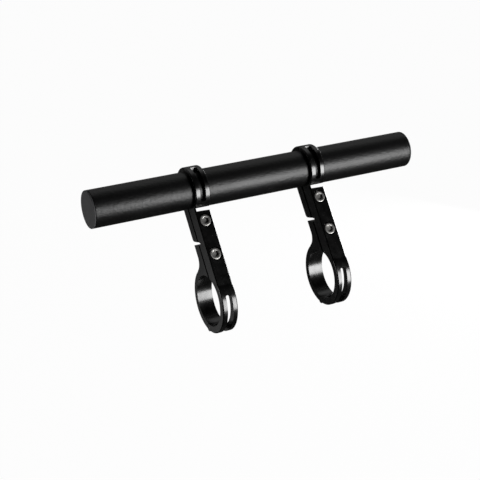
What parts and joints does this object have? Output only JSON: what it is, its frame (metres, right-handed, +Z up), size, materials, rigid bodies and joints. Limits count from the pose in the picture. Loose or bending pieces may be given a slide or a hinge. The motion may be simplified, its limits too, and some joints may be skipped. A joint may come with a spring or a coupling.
{
  "type": "handlebar extender",
  "caption": "Round black accessory bar held above and ahead of a bicycle handlebar by hinged clamp brackets with socket head bolts.",
  "frame": {"origin": "on the handlebar's axis, at the middle of the left bracket's lower clamp", "axes": "+X along the handlebar and the accessory bar, from the rider's left to right; +Y forward, away from the rider; +Z up"},
  "size_m": [0.243, 0.0708, 0.1062],
  "materials": {
    "bar_anodised_black": "fine matte black anodised",
    "bracket_anodised_black": "smooth satin black anodised",
    "cap_black_plastic": "fine grained matte black",
    "bolt_steel": "bright stainless",
    "pin_steel": "ground steel"
  },
  "bodies": {
    "left_bracket": {"left_bracket_arm": "bracket_anodised_black", "left_upper_bolt": "bolt_steel", "left_lower_bolt": "bolt_steel", "left_upper_hinge_pin": "pin_steel", "left_lower_hinge_pin": "pin_steel"},
    "left_upper_jaw": {"left_upper_jaw": "bracket_anodised_black"},
    "left_lower_jaw": {"left_lower_jaw": "bracket_anodised_black"},
    "right_bracket": {"right_bracket_arm": "bracket_anodised_black", "right_upper_bolt": "bolt_steel", "right_lower_bolt": "bolt_steel", "right_upper_hinge_pin": "pin_steel", "right_lower_hinge_pin": "pin_steel"},
    "right_upper_jaw": {"right_upper_jaw": "bracket_anodised_black"},
    "right_lower_jaw": {"right_lower_jaw": "bracket_anodised_black"},
    "accessory_bar": {"extension_tube": "bar_anodised_black", "left_end_cap": "cap_black_plastic", "right_end_cap": "cap_black_plastic"}
  },
  "joints": [
    {"name": "bar_slide", "type": "slide", "parent": "left_bracket", "child": "accessory_bar", "axis": [1, 0, 0], "range_m": [-0.035, 0.035]},
    {"name": "bracket_spacing_slide", "type": "slide", "parent": "left_bracket", "child": "right_bracket", "axis": [1, 0, 0], "range_m": [-0.045, 0.035]},
    {"name": "left_upper_jaw_hinge", "type": "hinge", "parent": "left_bracket", "child": "left_upper_jaw", "pos_m": [0, 0.03457, 0.0819], "axis": [1, 0, 0], "range_deg": [0, 1]},
    {"name": "left_lower_jaw_hinge", "type": "hinge", "parent": "left_bracket", "child": "left_lower_jaw", "pos_m": [0, -0.00032, -0.02035], "axis": [-1, 0, 0], "range_deg": [0, 1]},
    {"name": "right_upper_jaw_hinge", "type": "hinge", "parent": "right_bracket", "child": "right_upper_jaw", "pos_m": [0.088, 0.03457, 0.0819], "axis": [1, 0, 0], "range_deg": [0, 1]},
    {"name": "right_lower_jaw_hinge", "type": "hinge", "parent": "right_bracket", "child": "right_lower_jaw", "pos_m": [0.088, -0.00032, -0.02035], "axis": [-1, 0, 0], "range_deg": [0, 1]}
  ]
}
